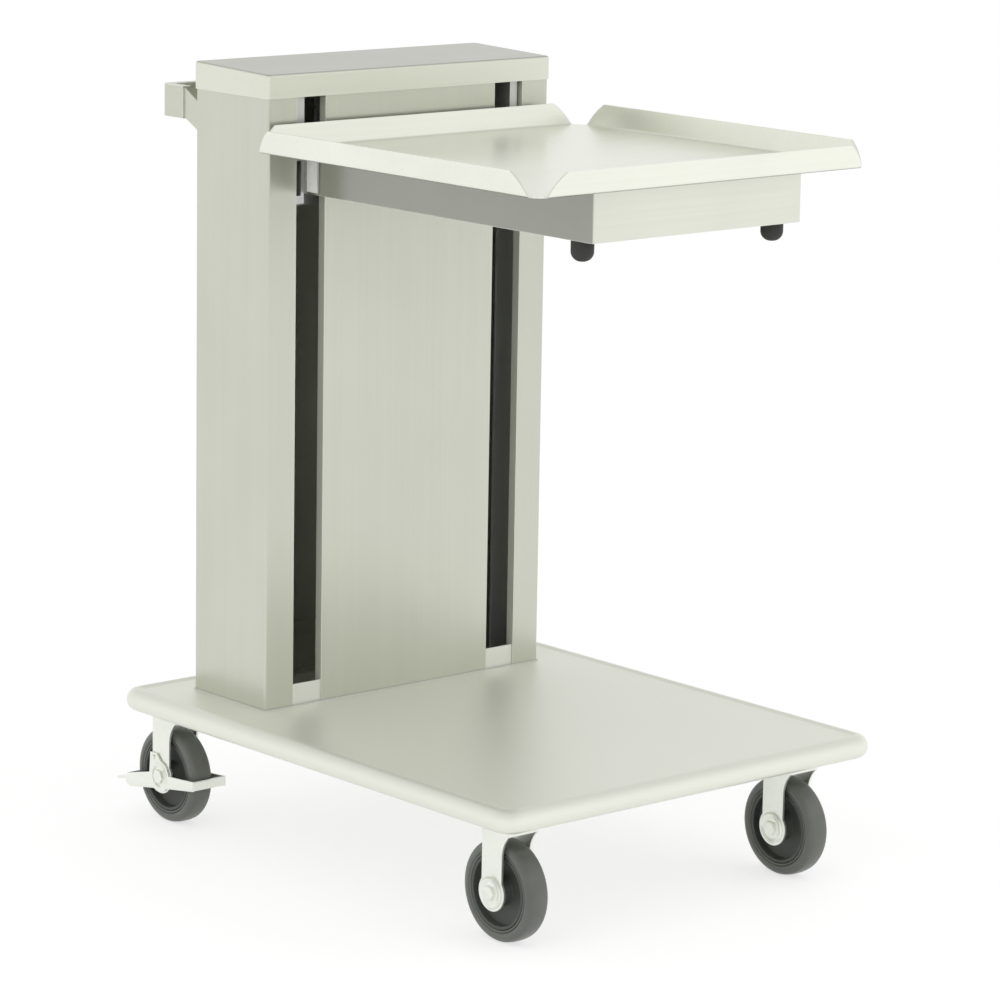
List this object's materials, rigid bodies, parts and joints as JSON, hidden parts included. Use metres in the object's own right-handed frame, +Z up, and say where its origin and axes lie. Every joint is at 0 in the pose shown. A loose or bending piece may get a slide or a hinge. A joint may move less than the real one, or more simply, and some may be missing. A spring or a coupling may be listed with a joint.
{
  "type": "mobile tray dispenser",
  "caption": "Stainless trolley with a low deck, a rear tower with two slots, and a spring-lifted cantilever tray platform that rides on rollers; swivel casters below.",
  "frame": {"origin": "on the floor, straight below the middle of the deck", "axes": "+X to the right of someone facing the slots, +Y from the platform towards the push handle at the back, +Z up"},
  "size_m": [0.615, 0.8435, 1.0029],
  "materials": {
    "stainless_deck": "satin stainless sheet",
    "stainless_panel": "satin stainless sheet, vertical grain",
    "stainless_platform": "satin stainless sheet",
    "galvanised": "galvanised sheet",
    "bright_zinc": "bright zinc plate",
    "spring_wire": "oiled spring wire",
    "black_rubber": "matt black rubber",
    "wheel_tread": "dark polyurethane, slightly glossy",
    "wheel_centre": "dark moulded nylon",
    "nylon": "natural nylon"
  },
  "bodies": {
    "base": {"base_deck": "stainless_deck", "front_caster_channel": "galvanised", "rear_caster_channel": "galvanised", "stem_nuts": "bright_zinc", "tower_shell": "stainless_panel", "centre_panel": "stainless_panel", "slot_closure_left": "stainless_panel", "slot_closure_right": "stainless_panel", "tower_cap": "stainless_panel", "guide_rail_left": "galvanised", "guide_rail_right": "galvanised", "spring_hanger": "galvanised", "hanger_pins": "bright_zinc", "stop_pads": "black_rubber", "rear_access_panel": "stainless_panel", "panel_screws": "bright_zinc", "push_handle": "stainless_panel", "handle_bracket_left": "stainless_panel", "handle_bracket_right": "stainless_panel", "caster_mount_front_left": "bright_zinc", "caster_mount_front_right": "bright_zinc", "caster_mount_rear_left": "bright_zinc", "caster_mount_rear_right": "bright_zinc", "lift_spring_1": "spring_wire", "lift_spring_2": "spring_wire", "lift_spring_3": "spring_wire", "lift_spring_4": "spring_wire"},
    "carriage": {"carriage_plate_left": "galvanised", "carriage_plate_right": "galvanised", "carriage_upper_crossbar": "galvanised", "carriage_lower_crossbar": "galvanised", "carrier_frame": "stainless_platform", "carrier_brace": "stainless_platform", "tray_platform": "stainless_platform", "bumpers": "black_rubber", "roller_axles": "bright_zinc", "arm_bolts": "bright_zinc", "anchor_pins": "bright_zinc"},
    "roller_upper_left": {"roller_upper_left": "nylon"},
    "roller_upper_right": {"roller_upper_right": "nylon"},
    "roller_lower_left": {"roller_lower_left": "nylon"},
    "roller_lower_right": {"roller_lower_right": "nylon"},
    "fork_front_left": {"caster_fork_front_left": "bright_zinc", "caster_axle_front_left": "bright_zinc"},
    "wheel_front_left": {"wheel_hub_front_left": "wheel_centre", "wheel_tyre_front_left": "wheel_tread"},
    "fork_front_right": {"caster_fork_front_right": "bright_zinc", "caster_axle_front_right": "bright_zinc"},
    "wheel_front_right": {"wheel_hub_front_right": "wheel_centre", "wheel_tyre_front_right": "wheel_tread"},
    "fork_rear_left": {"caster_fork_rear_left": "bright_zinc", "caster_axle_rear_left": "bright_zinc"},
    "wheel_rear_left": {"wheel_hub_rear_left": "wheel_centre", "wheel_tyre_rear_left": "wheel_tread"},
    "brake_rear_left": {"brake_lever_rear_left": "bright_zinc"},
    "fork_rear_right": {"caster_fork_rear_right": "bright_zinc", "caster_axle_rear_right": "bright_zinc"},
    "wheel_rear_right": {"wheel_hub_rear_right": "wheel_centre", "wheel_tyre_rear_right": "wheel_tread"},
    "brake_rear_right": {"brake_lever_rear_right": "bright_zinc"}
  },
  "joints": [
    {"name": "platform_lift", "type": "slide", "parent": "base", "child": "carriage", "axis": [0, 0, 1], "range_m": [-0.631, 0], "stiffness_N_per_m": 1200, "springref_m": 0.15, "deforming": ["lift_spring_1", "lift_spring_2", "lift_spring_3", "lift_spring_4"]},
    {"name": "roller_upper_left_spin", "type": "hinge", "parent": "carriage", "child": "roller_upper_left", "pos_m": [-0.203, 0.2505, 0.948], "axis": [1, 0, 0], "range_deg": [-1794.8, 5]},
    {"name": "roller_upper_right_spin", "type": "hinge", "parent": "carriage", "child": "roller_upper_right", "pos_m": [0.203, 0.2505, 0.948], "axis": [1, 0, 0], "range_deg": [-1794.8, 5]},
    {"name": "roller_lower_left_spin", "type": "hinge", "parent": "carriage", "child": "roller_lower_left", "pos_m": [-0.203, 0.2505, 0.862], "axis": [1, 0, 0], "range_deg": [-5, 1794.8]},
    {"name": "roller_lower_right_spin", "type": "hinge", "parent": "carriage", "child": "roller_lower_right", "pos_m": [0.203, 0.2505, 0.862], "axis": [1, 0, 0], "range_deg": [-5, 1794.8]},
    {"name": "swivel_front_left", "type": "hinge", "parent": "base", "child": "fork_front_left", "pos_m": [-0.234, -0.315, 0.15], "axis": [0, 0, 1], "continuous": true},
    {"name": "roll_front_left", "type": "hinge", "parent": "fork_front_left", "child": "wheel_front_left", "pos_m": [-0.234, -0.303, 0.0635], "axis": [1, 0, 0], "continuous": true},
    {"name": "swivel_front_right", "type": "hinge", "parent": "base", "child": "fork_front_right", "pos_m": [0.234, -0.315, 0.15], "axis": [0, 0, 1], "continuous": true},
    {"name": "roll_front_right", "type": "hinge", "parent": "fork_front_right", "child": "wheel_front_right", "pos_m": [0.234, -0.303, 0.0635], "axis": [1, 0, 0], "continuous": true},
    {"name": "swivel_rear_left", "type": "hinge", "parent": "base", "child": "fork_rear_left", "pos_m": [-0.234, 0.351, 0.15], "axis": [0, 0, 1], "continuous": true},
    {"name": "roll_rear_left", "type": "hinge", "parent": "fork_rear_left", "child": "wheel_rear_left", "pos_m": [-0.234, 0.363, 0.0635], "axis": [1, 0, 0], "continuous": true},
    {"name": "brake_pedal_rear_left", "type": "hinge", "parent": "fork_rear_left", "child": "brake_rear_left", "pos_m": [-0.234, 0.375, 0.0875], "axis": [1, 0, 0], "range_deg": [-7, 0]},
    {"name": "swivel_rear_right", "type": "hinge", "parent": "base", "child": "fork_rear_right", "pos_m": [0.234, 0.351, 0.15], "axis": [0, 0, 1], "continuous": true},
    {"name": "roll_rear_right", "type": "hinge", "parent": "fork_rear_right", "child": "wheel_rear_right", "pos_m": [0.234, 0.363, 0.0635], "axis": [1, 0, 0], "continuous": true},
    {"name": "brake_pedal_rear_right", "type": "hinge", "parent": "fork_rear_right", "child": "brake_rear_right", "pos_m": [0.234, 0.375, 0.0875], "axis": [1, 0, 0], "range_deg": [-7, 0]}
  ],
  "couplings": [
    {"joint": "roller_upper_left_spin", "follows": "platform_lift", "rad_per_m": 49.505},
    {"joint": "roller_upper_right_spin", "follows": "platform_lift", "rad_per_m": 49.505},
    {"joint": "roller_lower_left_spin", "follows": "platform_lift", "rad_per_m": -49.505},
    {"joint": "roller_lower_right_spin", "follows": "platform_lift", "rad_per_m": -49.505}
  ]
}
